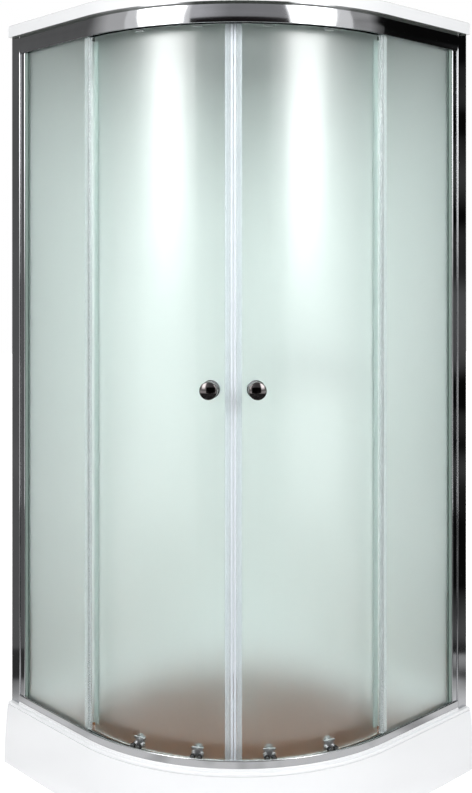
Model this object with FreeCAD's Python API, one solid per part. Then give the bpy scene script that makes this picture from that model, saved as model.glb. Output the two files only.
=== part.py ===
import FreeCAD, Part
import os
from math import cos, sin, radians

V = FreeCAD.Vector

# Overall plan. The room's corner is at the back left, and the curved front faces right and forwards.
side = 900.0
wall_to_arc_centre = 350.0
half_share = 0.5
tiny_share = 1e-4
quarter_turn = 90.0
eighth_turn = 45.0
full_turn = 360.0

# Heights from the floor
rim_height = 163.0
bead_height = 6.0
frame_height = 1816.0
roof_lip_height = 32.0
roof_crown_height = 39.0

# Tray
rim_inset = 12.0
rim_thickness = 6.5
rim_round = 3.0
tray_wall = 5.0
basin_depth = 103.0
basin_front_inset = 92.0
basin_back_inset = 48.0
basin_draft = 12.0
basin_round = 14.0
basin_corner_round = 400.0
basin_end_round = 70.0
floor_panel_thickness = 3.0
floor_panel_gap = 3.0
bead_round = 2.5
bead_front_margin = 2.0
bead_back_margin = 3.0

# Apron
apron_thickness = 4.0
apron_top_inset = 10.0
apron_shadow_gap = 0.8
apron_flange_width = 40.0
apron_foot_width = 18.0
apron_belly = 2.5
apron_belly_share = 0.45

# Support under the tray
tube_width = 30.0
tube_wall = 2.0
tube_end_gap = 70.0
tube_front_inset = 250.0
foot_pad_radius = 22.0
foot_pad_height = 8.0
foot_neck_radius = 11.0
foot_neck_height = 6.0
foot_stud_radius = 5.0
foot_stud_clearance = 0.25
foot_inset = 40.0
nut_across_corners = 18.5
nut_height = 7.0
nut_sides = 6

# Waste
waste_from_corner = 270.0
waste_flange_radius = 57.0
waste_flange_height = 3.0
waste_hole_radius = 44.0
waste_bowl_radius = 42.0
waste_bowl_wall = 2.5
waste_bowl_floor = 6.0
outlet_radius = 20.0
outlet_wall = 2.5
outlet_body_radius = 22.0
outlet_spigot_length = 60.0
outlet_height = 28.5
outlet_end_gap = 14.0
cover_radius = 52.0
cover_rise = 5.0
cover_edge = 2.0
cover_gap = 4.0
cover_plug_radius = 12.0
cover_leg_radius = 3.0
cover_leg_circle = 33.0
cover_leg_count = 3

# Front frame, measured in from the outermost plan
frame_inset = 24.0
rail_wall = 2.0
rail_edge_round = 1.8
top_rail_height = 48.0
top_rail_channel_depth = 12.0
bottom_rail_height = 19.0
bottom_rail_back_height = 11.0
bottom_rail_lip = 5.0
bottom_rail_lip_round = 2.2
glass_channel_width = 16.0
track_channel_width = 18.0
top_rail_lip = 4.0
rail_bow = 1.6

# Running tracks inside the rails: true arcs, so that the wheels stay on them
track_rib = 3.0
track_from_face = 28.0
track_base = 9.0
track_base_height = 1.5
upper_rib_height = 1.5
lower_rib_height = 2.0
track_end_angle = 10.0
roll_gap = 0.3

# Wall posts and glazing profiles
post_width = 38.0
post_depth = 38.0
post_round = 2.5
post_wall = 2.0
profile_width = 20.0
profile_depth = 28.0
profile_set_back = 3.0
profile_round = 2.5
profile_slot_depth = 14.0
profile_foot = 19.0
gasket_width = 8.0
gasket_thickness = 4.0
gasket_lip_share = 0.45

# Glass
glass_thickness = 5.0
fixed_glass_from_face = 10.0
fixed_glass_end_before_arc = 9.0
fixed_glass_into_post = 10.0
fixed_glass_top_gap = 3.0
fixed_glass_foot = 3.0
door_glass_from_face = 46.0
door_glass_above_axle = 12.0
door_glass_foot_gap = 5.0
door_overlap_angle = 3.6
door_meet_gap = 9.0

# Clear strips on glass edges
edge_strip_grip = 12.0
edge_strip_reach = 20.0
edge_strip_wall = 1.6
edge_strip_nose = 4.0
magnet_strip_width = 13.0
magnet_strip_wall = 1.5
magnet_nose_gap = 0.4
magnet_nose_half = 4.0
trail_strip_width = 16.0
trail_fin_reach = 17.0
trail_fin_thickness = 1.2
strip_fit = 0.1

# Rollers on the doors, by angle from the line where the doors meet
roller_angles = (10.3, 28.8)
upper_wheel_radius = 11.5
upper_groove_radius = 10.0
upper_wheel_width = 8.0
lower_wheel_radius = 6.5
lower_groove_radius = 5.5
lower_wheel_width = 7.0
lower_wheel_spread = 8.5
groove_side_gap = 0.6
axle_radius = 3.0
axle_fit = 0.05
wheel_bore_lead = 0.6
axle_head_radius = 4.6
axle_head_width = 1.4
axle_shoulder_radius = 4.6
wheel_end_gap = 0.4
hanger_plate = 4.6
hanger_seat_gap = 0.3
upper_hanger_width = 26.0
upper_hanger_below = 27.0
upper_hanger_top = 7.0
lower_hanger_width = 30.0
lower_hanger_height = 21.5
lower_hanger_waist = 15.0
lower_hanger_below = 5.0
hanger_hub_radius = 5.5
hanger_hub_rise = 10.0
hanger_corner = 4.0
glass_hole_gap = 0.4
cap_radius = 12.0
cap_thickness = 6.0
cap_round = 2.0
cap_seat_gap = 0.5
button_radius = 3.6
button_fit = 0.06
button_stand = 4.0
button_depth = 3.4
button_travel_room = 2.6
button_collar_radius = 5.6
button_collar_thickness = 1.2

# Knobs
knob_height = 1059.0
knob_angle = 6.5
knob_radius = 21.7
knob_length = 46.0
knob_neck_radius = 12.0
knob_flange_radius = 22.4
knob_foot_length = 4.0
knob_neck_length_share = 0.42
knob_edge_share = 0.66
knob_crown = 6.0
knob_shoulder = 3.5
knob_stud_radius = 3.9
inner_knob_length = 28.0
inner_knob_foot_radius = 14.0
knob_seat_gap = 0.3

# Rail connectors and screws
connector_length = 26.0
connector_gap = 0.4
screw_head_radius = 4.5
screw_head_height = 2.6
screw_shank_radius = 2.1
screw_hole_gap = 0.2
screw_length = 20.0
upper_screw_from_face = 12.0

# Back walls
panel_thickness = 4.0
panel_end_gap = 1.0
corner_post_width = 40.0
corner_post_wall = 4.0

# Roof
roof_wall = 4.0
roof_edge_round = 6.0
roof_seat_width = 60.0
roof_crown_front_inset = 150.0
roof_crown_back_inset = 110.0

# Mixer, riser and rose
mixer_height = 1050.0
mixer_from_corner = 330.0
mixer_from_panel = 62.0
mixer_radius = 22.0
mixer_length = 190.0
mixer_end_round = 2.0
inlet_spacing = 120.0
inlet_radius = 13.0
inlet_bore_radius = 9.3
inlet_bore_depth = 15.0
rosette_radius = 31.0
rosette_thickness = 9.0
panel_hole_gap = 1.0
handle_radius = 25.0
handle_length = 44.0
handle_gap = 0.5
handle_flute_radius = 7.0
handle_flute_count = 6
handle_wing_length = 30.0
handle_wing_width = 9.0
handle_bore_radius = 8.0
spindle_length = 26.0
spindle_fit = 0.05
riser_radius = 10.0
riser_wall = 1.5
riser_bend = 60.0
riser_below_crown = 36.0
rose_radius = 100.0
rose_thickness = 12.0
rose_round = 4.0
rose_neck_radius = 14.0
rose_drop = 72.0
nozzle_radius = 2.4
nozzle_height = 2.0
nozzle_ring_radii = (28.0, 52.0, 78.0)
nozzle_ring_count = 6

# Derived plan values
half = side * half_share
arc_x = -half + wall_to_arc_centre
arc_y = half - wall_to_arc_centre
arc_radius = side - wall_to_arc_centre
frame_radius = arc_radius - frame_inset
frame_line = half - frame_inset
up = V(0, 0, 1)
arc_centre = V(arc_x, arc_y, 0)
mirror_normal = V(1, 1, 0)

# Derived heights
frame_top = rim_height + frame_height
bead_top = rim_height + bead_height
top_rail_low = frame_top - top_rail_height
channel_roof = top_rail_low + top_rail_channel_depth
ledge_top = channel_roof + rail_wall
lower_floor = bead_top + rail_wall
basin_floor = rim_height - basin_depth
roof_lip_top = frame_top + roof_lip_height
total_height = roof_lip_top + roof_crown_height

# Derived distances from the arc centre
rail_back = frame_radius - rail_wall * 2 - glass_channel_width - track_channel_width
channel_back = frame_radius - rail_wall - glass_channel_width
fixed_glass_face = frame_radius - fixed_glass_from_face
door_glass_face = frame_radius - door_glass_from_face
door_glass_back = door_glass_face - glass_thickness
track_radius = frame_radius - track_from_face
door_foot = rim_height + door_glass_foot_gap
upper_axle_height = ledge_top + track_base_height + upper_rib_height + upper_groove_radius + roll_gap
lower_axle_height = lower_floor + track_base_height + lower_rib_height + lower_groove_radius + roll_gap
door_top = upper_axle_height + door_glass_above_axle


def mirrored(shape):
    """The same piece on the other side of the cabin's diagonal plane."""
    return shape.mirror(V(0, 0, 0), mirror_normal)


def both_sides(solids):
    """A group of the given solids and their twins across the diagonal plane."""
    return Part.makeCompound(solids + [mirrored(solid) for solid in solids])


def on_arc(radius, angle, height):
    """A point by distance from the arc centre and angle from the left tangent line."""
    turn = radians(angle - quarter_turn)
    return V(arc_x + radius * cos(turn), arc_y + radius * sin(turn), height)


def outward(angle):
    """The direction straight out of the front at that angle."""
    turn = radians(angle - quarter_turn)
    return V(cos(turn), sin(turn), 0)


def plan(front_inset, wall_inset, height):
    """Closed quarter-round outline: two wall sides, two short front sides and the arc between them."""
    front = half - front_inset
    wall = half - wall_inset
    radius = arc_radius - front_inset
    start = V(-wall, -front, height)
    left = V(arc_x, -front, height)
    right = V(front, arc_y, height)
    finish = V(front, wall, height)
    corner = V(-wall, wall, height)
    sides = [Part.LineSegment(start, left).toShape()]
    sides.append(Part.Arc(left, on_arc(radius, eighth_turn, height), right).toShape())
    sides.append(Part.LineSegment(right, finish).toShape())
    sides.append(Part.LineSegment(finish, corner).toShape())
    sides.append(Part.LineSegment(corner, start).toShape())
    return Part.Wire(sides)


def corner_arc(corner, before, after, radius):
    """The arc that rounds a square corner, given the directions back along the two sides that meet there."""
    centre = corner + (before + after) * radius
    outwards = (corner - centre).normalize()
    middle = centre + outwards * radius
    return Part.Arc(corner + before * radius, middle, corner + after * radius).toShape()


def basin_plan(grow, height):
    """The basin's mouth, moved out by grow: an arc along the front and a wide round at the room's corner."""
    front = half - basin_front_inset + grow
    wall = half - basin_back_inset + grow
    radius = arc_radius - basin_front_inset + grow
    ahead, back, left, right = V(0, -1, 0), V(0, 1, 0), V(-1, 0, 0), V(1, 0, 0)
    end = basin_end_round + grow
    corners = [corner_arc(V(-wall, -front, height), back, right, end)]
    corners.append(Part.Arc(V(arc_x, -front, height), on_arc(radius, eighth_turn, height),
                            V(front, arc_y, height)).toShape())
    corners.append(corner_arc(V(front, wall, height), ahead, left, end))
    corners.append(corner_arc(V(-wall, wall, height), right, ahead, basin_corner_round + grow))
    sides = []
    for arc, following in zip(corners, corners[1:] + corners[:1]):
        sides.append(arc)
        sides.append(Part.LineSegment(arc.lastVertex().Point, following.firstVertex().Point).toShape())
    return Part.Wire(sides)


def plan_block(front_inset, wall_inset, low, high):
    return Part.Face(plan(front_inset, wall_inset, low)).extrude(V(0, 0, high - low))


def plan_taper(low_insets, high_insets, low, high):
    """A block whose outline changes from one level to the other, as a moulded wall with draft does."""
    wires = [plan(low_insets[0], low_insets[1], low), plan(high_insets[0], high_insets[1], high)]
    return Part.makeLoft(wires, True, True)


def profile_face(points):
    """A closed outline of (distance from the arc centre, height), standing on the left tangent line."""
    corners = [V(arc_x, arc_y - radius, height) for radius, height in points]
    return Part.Face(Part.makePolygon(corners + corners[:1]))


def along_front(face, wall_gap):
    """A profile carried along the left straight, round the arc and along the right straight."""
    left = face.extrude(V(wall_gap - wall_to_arc_centre, 0, 0))
    arc = face.revolve(arc_centre, up, quarter_turn)
    return left.fuse([arc, mirrored(left)]).removeSplitter()


def round_arc(face, start, finish):
    """A profile turned about the arc centre between two angles from the left tangent line."""
    turned = face.copy()
    turned.rotate(arc_centre, up, start)
    return turned.revolve(arc_centre, up, finish - start)


def ring_profile(inner, outer, low, high):
    return profile_face([(inner, low), (outer, low), (outer, high), (inner, high)])


def box(low, high):
    size = high - low
    return Part.makeBox(size.x, size.y, size.z, low)


def turned(points, origin, axis):
    """A solid turned about an axis from (radius, distance along the axis) points."""
    outline = Part.makePolygon([V(radius, 0, along) for radius, along in points + points[:1]])
    solid = Part.Face(outline).revolve(V(0, 0, 0), up, full_turn)
    solid.Placement = FreeCAD.Placement(origin, FreeCAD.Rotation(up, axis))
    return solid


def rod(origin, axis, radius, length):
    return Part.makeCylinder(radius, length, origin, axis)


def edges_at(shape, height):
    """Edges that lie wholly at one height."""
    level = side * tiny_share
    return [e for e in shape.Edges
            if abs(e.BoundBox.ZMin - height) < level and abs(e.BoundBox.ZMax - height) < level]


def upright_edges(shape):
    """Edges that stand straight up."""
    return [e for e in shape.Edges
            if e.BoundBox.XLength + e.BoundBox.YLength < e.BoundBox.ZLength * tiny_share]


def across(points, angle, radius, thickness):
    """A flat plate square to the radius at an angle; points are (sideways, height), thickness is outward."""
    origin = on_arc(radius, angle, 0)
    sideways = outward(angle + quarter_turn)
    corners = [origin + sideways * s + up * h for s, h in points]
    return Part.Face(Part.makePolygon(corners + corners[:1])).extrude(outward(angle) * thickness)


def waste_point(height):
    return V(-half + waste_from_corner, half - waste_from_corner, height)


# Tray: a rim slab, a drafted basin shell under it and a raised bead where the bottom rail stands
def make_tray():
    rim = plan_block(rim_inset, 0, rim_height - rim_thickness, rim_height)
    free_edges = [e for e in edges_at(rim, rim_height)
                  if e.BoundBox.XMax > -half + tray_wall and e.BoundBox.YMin < half - tray_wall]
    rim = rim.makeFillet(rim_round, free_edges)
    shell = Part.makeLoft([basin_plan(tray_wall - basin_draft, basin_floor - tray_wall),
                           basin_plan(tray_wall, rim_height - rim_thickness)], True, True)
    hollow = Part.makeLoft([basin_plan(-basin_draft, basin_floor), basin_plan(0, rim_height)], True, True)
    hollow = hollow.makeFillet(basin_round, edges_at(hollow, basin_floor))
    bead_back = rail_back - bead_back_margin
    bead_front = frame_radius + bead_front_margin
    bead = along_front(ring_profile(bead_back, bead_front, rim_height, bead_top), post_width)
    bead = bead.makeFillet(bead_round, [e for e in edges_at(bead, bead_top)])
    tray = rim.fuse(shell).cut(hollow).fuse(bead)
    tray = tray.cut(rod(waste_point(0), up, waste_hole_radius, rim_height))
    return tray.removeSplitter()


def make_floor_panel():
    outline = basin_plan(-basin_draft - basin_round - floor_panel_gap, basin_floor)
    panel = Part.Face(outline).extrude(V(0, 0, floor_panel_thickness))
    return panel.cut(rod(waste_point(0), up, waste_flange_radius + floor_panel_gap, rim_height))


# Apron: a bowed skirt with a flange that tucks under the rim and a foot turned in along the floor
def make_apron():
    top = rim_height - rim_thickness - apron_shadow_gap
    high = arc_radius - apron_top_inset
    waist = arc_radius - apron_top_inset * apron_belly_share + apron_belly
    waist_height = top * apron_belly_share
    flange = high - apron_flange_width
    foot = arc_radius - apron_foot_width

    def point(radius, height):
        return V(arc_x, arc_y - radius, height)

    skin = Part.Arc(point(high, top), point(waist, waist_height), point(arc_radius, 0)).toShape()
    floor = Part.makePolygon([point(arc_radius, 0), point(foot, 0), point(foot, apron_thickness),
                              point(arc_radius - apron_thickness, apron_thickness)])
    base = point(arc_radius - apron_thickness, apron_thickness)
    shoulder = point(high - apron_thickness, top - apron_thickness)
    back = Part.Arc(base, point(waist - apron_thickness, waist_height), shoulder).toShape()
    rest = rim_height - rim_thickness
    lip = flange + apron_thickness
    tuck = Part.makePolygon([shoulder, point(flange, top - apron_thickness), point(flange, rest),
                             point(lip, rest), point(lip, top), point(high, top)])
    return along_front(Part.Face(Part.Wire([skin] + floor.Edges + [back] + tuck.Edges)), 0)


# Support frame: welded square tubes in a hash pattern
def make_support_frame():
    low = basin_floor - tray_wall - tube_width
    reach = half - tube_end_gap
    front = half - tube_front_inset

    def tube(start, finish):
        body = box(start, finish)
        size = finish - start
        inset = V(0, tube_wall, tube_wall) if size.x > size.y else V(tube_wall, 0, tube_wall)
        return body, box(start + inset, finish - inset)

    wide = V(tube_width, tube_width, tube_width)
    deep = V(tube_width, 0, tube_width)
    spans = [(V(-reach, y, low), V(front, y, low) + wide) for y in (-front, arc_y)]
    spans += [(V(x, -front, low), V(x, reach, low) + deep) for x in (front, arc_x)]
    tubes = [tube(start, finish) for start, finish in spans]
    frame = tubes[0][0].fuse([t[0] for t in tubes[1:]])
    for body, hollow in tubes:
        frame = frame.cut(hollow)
    for point in foot_points():
        frame = frame.cut(rod(point, up, foot_stud_radius + foot_stud_clearance, basin_floor))
    return frame.removeSplitter()


def foot_points():
    """Feet under the tube ends and under the crossing in the middle."""
    reach = half - tube_end_gap - foot_inset
    front = half - tube_front_inset
    middle = tube_width * half_share
    plans = [(-reach, middle - front), (middle + front, reach), (middle + front, middle - front)]
    plans += [(-reach, arc_y + middle), (arc_x + middle, reach)]
    return [V(x, y, 0) for x, y in plans]


def make_feet():
    top = basin_floor - tray_wall
    feet = []
    for point in foot_points():
        neck = foot_pad_height + foot_neck_height
        outline = [(0, 0), (foot_pad_radius, 0), (foot_pad_radius, foot_pad_height * half_share),
                   (foot_neck_radius, foot_pad_height), (foot_neck_radius, neck), (foot_stud_radius, neck),
                   (foot_stud_radius, top), (0, top)]
        feet.append(turned(outline, point, up))
    return feet


def make_foot_nuts():
    nuts = []
    low = basin_floor - tray_wall - tube_width - nut_height
    for point in foot_points():
        turns = [radians(full_turn / nut_sides * i) for i in range(nut_sides)]
        corners = [point + V(cos(turn), sin(turn), 0) * (nut_across_corners * half_share) for turn in turns]
        face = Part.Face(Part.makePolygon(corners + corners[:1]))
        nut = face.extrude(V(0, 0, nut_height))
        nut.translate(V(0, 0, low))
        nuts.append(nut.cut(rod(point, up, foot_stud_radius + foot_stud_clearance, basin_floor)))
    return nuts


# Waste: a flange on the tray floor, a bowl below it and an outlet towards the left wall, with a stepped push-on end
def make_waste():
    centre = waste_point(0)
    outlet_start = centre + V(0, 0, outlet_height)
    outlet_length = waste_point(0).x + half - outlet_end_gap
    inside = waste_bowl_radius - waste_bowl_wall
    lip = basin_floor + waste_flange_height
    outline = [(0, waste_bowl_floor), (waste_bowl_radius, waste_bowl_floor), (waste_bowl_radius, basin_floor),
               (waste_flange_radius, basin_floor), (waste_flange_radius, lip), (0, lip)]
    body = turned(outline, centre, up)
    body = body.fuse(rod(outlet_start, V(-1, 0, 0), outlet_body_radius, outlet_length - outlet_spigot_length))
    body = body.fuse(rod(outlet_start, V(-1, 0, 0), outlet_radius, outlet_length))
    body = body.cut(rod(centre + V(0, 0, waste_bowl_floor + waste_bowl_wall), up, inside, rim_height))
    return body.cut(rod(outlet_start, V(-1, 0, 0), outlet_radius - outlet_wall, outlet_length))


def make_waste_cover():
    low = basin_floor + waste_flange_height + cover_gap
    high = low + cover_edge
    centre = waste_point(0)
    crest = high + cover_rise
    outline = [(0, low), (cover_radius, low), (cover_radius, high), (cover_plug_radius, crest), (0, crest)]
    disc = turned(outline, centre, up)
    foot = waste_bowl_floor + waste_bowl_wall
    legs = []
    for i in range(cover_leg_count):
        turn = radians(full_turn / cover_leg_count * i)
        place = centre + V(cos(turn), sin(turn), 0) * cover_leg_circle + V(0, 0, foot)
        legs.append(rod(place, up, cover_leg_radius, low - foot))
    return disc.fuse(legs)


# Rails: one profile each, carried along the whole front between the posts
def make_top_rail():
    front = frame_radius
    inner = front - rail_wall
    back = channel_back
    deep = channel_back - rail_wall
    ceiling = frame_top - rail_wall
    outer_top = V(arc_x, arc_y - front, frame_top)
    round_high = V(arc_x, arc_y - front, top_rail_low + rail_edge_round)
    round_low = V(arc_x, arc_y - front + rail_edge_round, top_rail_low)
    round_reach = rail_edge_round * cos(radians(eighth_turn))
    round_middle = V(arc_x, round_low.y - round_reach, round_high.z - round_reach)
    bow = V(arc_x, arc_y - front - rail_bow, (frame_top + top_rail_low) * half_share)
    face_line = Part.Arc(outer_top, bow, round_high).toShape()
    low_edge = Part.Arc(round_high, round_middle, round_low).toShape()
    hook = rail_back + rail_wall
    hook_low = ceiling - top_rail_lip
    rest = [(front - rail_edge_round, top_rail_low), (inner, top_rail_low), (inner, channel_roof), (back, channel_roof),
            (back, top_rail_low), (deep, top_rail_low), (deep, channel_roof), (rail_back, channel_roof),
            (rail_back, ledge_top), (deep, ledge_top), (deep, ceiling), (hook, ceiling), (hook, hook_low),
            (rail_back, hook_low), (rail_back, frame_top), (front, frame_top)]
    polygon = Part.makePolygon([V(arc_x, arc_y - r, z) for r, z in rest])
    face = Part.Face(Part.Wire([face_line, low_edge] + polygon.Edges))
    hollow = ring_profile(back, inner, ledge_top, ceiling)
    return along_front(face.cut(hollow).Faces[0], post_width)


def make_bottom_rail():
    front = frame_radius
    inner = front - rail_wall
    back = channel_back
    deep = channel_back - rail_wall
    high = bead_top + bottom_rail_height
    wall = bead_top + bottom_rail_back_height
    lip_back = front - bottom_rail_lip
    lip_low = high - bottom_rail_lip
    points = [(rail_back, bead_top), (front, bead_top), (front, high), (lip_back, high), (lip_back, lip_low),
              (inner, lip_low), (inner, lower_floor), (back, lower_floor), (back, wall), (deep, wall),
              (deep, lower_floor), (rail_back, lower_floor)]
    rail = along_front(profile_face(points), post_width)
    return rail.makeFillet(bottom_rail_lip_round, edges_at(rail, high))


def make_track(floor, rib_height):
    """A running strip with one rib, bent to a true arc about the doors' turning centre."""
    base = floor + track_base_height
    outer = track_radius + track_base * half_share
    inner = track_radius - track_base * half_share
    rib_outer = track_radius + track_rib * half_share
    rib_inner = track_radius - track_rib * half_share
    crest = base + rib_height
    points = [(inner, floor), (outer, floor), (outer, base), (rib_outer, base), (rib_outer, crest),
              (rib_inner, crest), (rib_inner, base), (inner, base)]
    return round_arc(profile_face(points), -track_end_angle, quarter_turn + track_end_angle)


# Posts: a rounded hollow profile at the wall, and the glazing profile that holds the fixed glass
def front_rounded_box(low, high, radius):
    """A box with one rounded upright edge: at its front and away from the wall."""
    body = box(low, high)
    middle = (low + high) * half_share
    edge = [e for e in upright_edges(body) if e.BoundBox.XMin > middle.x and e.BoundBox.YMax < middle.y]
    return body.makeFillet(radius, edge)


def make_post():
    low = V(-half, -frame_line, rim_height)
    high = V(-half + post_width, -frame_line + post_depth, frame_top)
    inset = V(post_wall, post_wall, 0)
    body = front_rounded_box(low, high, post_round)
    body = body.cut(front_rounded_box(low + inset, high - inset, post_round - post_wall))
    for point in screw_points():
        body = body.cut(rod(point, V(1, 0, 0), screw_shank_radius + screw_hole_gap, screw_length))
    return body


def make_glazing_profile():
    start = -half + post_width
    front = -frame_line + profile_set_back
    low = bead_top + profile_foot
    high = top_rail_low
    body = box(V(start, front, low), V(start + profile_width, front + profile_depth, high))
    body = body.makeFillet(profile_round, [e for e in upright_edges(body) if e.BoundBox.XMin > start])
    glass_front = arc_y - fixed_glass_face
    room = strip_fit + gasket_thickness * half_share
    finish = start + profile_width
    slot_low = V(finish - profile_slot_depth, glass_front - room, low)
    slot_high = V(finish, glass_front + glass_thickness + room, high)
    return body.cut(box(slot_low, slot_high))


def make_gasket():
    """The soft lip on both faces of the fixed glass where it enters the profile."""
    start = -half + post_width + profile_width
    glass_front = arc_y - fixed_glass_face
    low = bead_top + profile_foot
    lips = []
    for near, far in ((-gasket_thickness, 0), (glass_thickness, glass_thickness + gasket_thickness)):
        front = glass_front + near
        lip = box(V(start, front, low), V(start + gasket_width, glass_front + far, top_rail_low))
        tip = start + gasket_width
        outer_edge = [e for e in upright_edges(lip) if e.BoundBox.XMin > tip - gasket_lip_share
                      and abs(e.BoundBox.YMin - glass_front - glass_thickness * half_share) > glass_thickness]
        lips.append(lip.makeFillet(gasket_thickness * gasket_lip_share, outer_edge))
    return lips


# Glass: the fixed panel is flat, the door is bent about the arc centre
def make_fixed_glass():
    start = -half + post_width + profile_width - fixed_glass_into_post
    front = arc_y - fixed_glass_face
    low = lower_floor + fixed_glass_foot
    high = channel_roof - fixed_glass_top_gap
    return box(V(start, front, low), V(arc_x - fixed_glass_end_before_arc, front + glass_thickness, high))


def make_edge_strip():
    """A clear channel over the fixed glass's free edge, a hollow bulb beyond it and a soft nose towards the door."""
    low = bead_top + bottom_rail_height
    high = top_rail_low
    finish = arc_x - fixed_glass_end_before_arc
    front = arc_y - fixed_glass_face
    back = front + glass_thickness
    wall = edge_strip_wall + strip_fit
    start = finish - edge_strip_grip
    tip = finish + edge_strip_reach
    nose = tip - edge_strip_nose
    outline = [(start, front - wall), (tip, front - wall), (tip, back + wall), (nose, back + wall + edge_strip_nose),
               (nose - edge_strip_nose, back + wall), (start, back + wall), (start, back + strip_fit),
               (finish + strip_fit, back + strip_fit), (finish + strip_fit, front - strip_fit),
               (start, front - strip_fit)]
    face = Part.Face(Part.makePolygon([V(x, y, low) for x, y in outline + outline[:1]]))
    strip = face.extrude(V(0, 0, high - low))
    return strip.cut(box(V(finish + wall, front, low), V(tip - wall, back, high)))


def meet_angle(gap, radius):
    """The angle whose arc at that radius leaves the gap before the line where the doors meet."""
    return eighth_turn - gap / radius / radians(1)


def make_door_glass():
    face = ring_profile(door_glass_back, door_glass_face, door_foot, door_top)
    glass = round_arc(face, -door_overlap_angle, meet_angle(door_meet_gap, door_glass_face))
    for angle, height, radius in glass_holes():
        start = on_arc(door_glass_back - glass_thickness, angle, height)
        glass = glass.cut(rod(start, outward(angle), radius + glass_hole_gap, glass_thickness * 3))
    return glass


def glass_holes():
    """Angle, height and fitting radius of every hole in a door."""
    holes = [(eighth_turn - knob_angle, knob_height, knob_stud_radius)]
    for angle in roller_angles:
        holes.append((eighth_turn - angle, upper_axle_height, hanger_hub_radius))
        holes.append((eighth_turn - angle, lower_axle_height + hanger_hub_rise, hanger_hub_radius))
    return holes


def make_magnet_strip():
    """A clear channel over the door's meeting edge, with a tapered magnetic nose."""
    wall = magnet_strip_wall + strip_fit
    glass_end = door_meet_gap
    outer = door_glass_face + wall
    inner = door_glass_back - wall
    middle = (door_glass_face + door_glass_back) * half_share

    def place(back_from_meeting, radius):
        return on_arc(radius, meet_angle(back_from_meeting, radius), door_foot)

    tail = glass_end + magnet_strip_width - wall
    base = glass_end - wall
    seat = glass_end - strip_fit
    seat_inner = door_glass_back - strip_fit
    seat_outer = door_glass_face + strip_fit
    outline = [place(tail, outer), place(base, outer), place(magnet_nose_gap, middle + magnet_nose_half),
               place(magnet_nose_gap, middle - magnet_nose_half), place(base, inner), place(tail, inner),
               place(tail, seat_inner), place(seat, seat_inner), place(seat, seat_outer),
               place(tail, seat_outer)]
    face = Part.Face(Part.makePolygon(outline + outline[:1]))
    return face.extrude(V(0, 0, door_top - door_foot))


def make_trail_strip():
    """A clear channel over the door's trailing edge, with a fin that reaches towards the fixed glass."""
    wall = edge_strip_wall + strip_fit
    outer = door_glass_face + wall
    inner = door_glass_back - wall
    low = bead_top + bottom_rail_height
    high = top_rail_low - edge_strip_nose

    def place(along, radius):
        return on_arc(radius, along / radius / radians(1) - door_overlap_angle, low)

    fin_tip = door_glass_face + trail_fin_reach
    fin_back = -wall - trail_fin_thickness
    seat_inner = door_glass_back - strip_fit
    seat_outer = door_glass_face + strip_fit
    tail = trail_strip_width
    outline = [place(tail, outer), place(0, outer), place(-wall, fin_tip), place(fin_back, fin_tip),
               place(fin_back, inner), place(tail, inner), place(tail, seat_inner),
               place(-strip_fit, seat_inner), place(-strip_fit, seat_outer), place(tail, seat_outer)]
    face = Part.Face(Part.makePolygon(outline + outline[:1]))
    return face.extrude(V(0, 0, high - low))


# Rollers: every hanger carries axle pins outward, and each wheel runs on one pin
def axle_pin(angle, height, sideways, groove_wheel_width):
    """A shoulder, a journal and a small head, along the radius."""
    plate_face = door_glass_face + hanger_seat_gap + hanger_plate
    start = on_arc(plate_face, angle, height) + outward(angle + quarter_turn) * sideways
    near = track_radius - groove_wheel_width * half_share - wheel_end_gap - plate_face
    far = track_radius + groove_wheel_width * half_share + wheel_end_gap - plate_face
    outline = [(0, -hanger_plate * half_share), (axle_shoulder_radius, -hanger_plate * half_share),
               (axle_shoulder_radius, near), (axle_radius, near), (axle_radius, far), (axle_head_radius, far),
               (axle_head_radius, far + axle_head_width), (0, far + axle_head_width)]
    return turned(outline, start, outward(angle))


def hub(angle, height):
    """The round boss of a hanger that passes through the hole in the glass."""
    return rod(on_arc(door_glass_back - cap_seat_gap, angle, height), outward(angle), hanger_hub_radius,
               cap_seat_gap + glass_thickness + hanger_seat_gap + hanger_plate * half_share)


def make_upper_hangers():
    hangers = []
    radius = door_glass_face + hanger_seat_gap
    wide = upper_hanger_width * half_share
    for roller in roller_angles:
        angle = eighth_turn - roller
        low = upper_axle_height - upper_hanger_below
        high = upper_axle_height + upper_hanger_top
        neck = wide * half_share
        shoulder = low + wide
        points = [(-wide, low), (wide, low), (wide, shoulder), (neck, high), (-neck, high), (-wide, shoulder)]
        plate = across(points, angle, radius, hanger_plate)
        pin = axle_pin(angle, upper_axle_height, 0, upper_wheel_width)
        hangers.append(plate.fuse([pin, hub(angle, upper_axle_height)]))
    return Part.makeCompound(hangers)


def make_lower_hangers():
    """A waisted plate with two wheels low down and the release button's socket at the hub."""
    hangers = []
    radius = door_glass_face + hanger_seat_gap
    wide = lower_hanger_width * half_share
    waist = lower_hanger_waist * half_share
    low = lower_axle_height - lower_hanger_below
    high = low + lower_hanger_height
    step = low + lower_hanger_below + hanger_corner
    head = high - hanger_corner
    right_edge = [(wide, low), (wide, step), (waist, step + hanger_corner), (waist, head - hanger_corner),
                  (wide, head), (wide, high)]
    points = right_edge + [(-sideways, height) for sideways, height in reversed(right_edge)]
    for roller in roller_angles:
        angle = eighth_turn - roller
        plate = across(points, angle, radius, hanger_plate)
        solids = [hub(angle, lower_axle_height + hanger_hub_rise)]
        for sideways in (-lower_wheel_spread, lower_wheel_spread):
            solids.append(axle_pin(angle, lower_axle_height, sideways, lower_wheel_width))
        hanger = plate.fuse(solids)
        depth = button_depth + button_travel_room
        socket = on_arc(radius + hanger_plate - depth, angle, lower_axle_height + hanger_hub_rise)
        hangers.append(hanger.cut(rod(socket, outward(angle), button_radius + button_fit, depth)))
    return Part.makeCompound(hangers)


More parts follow.
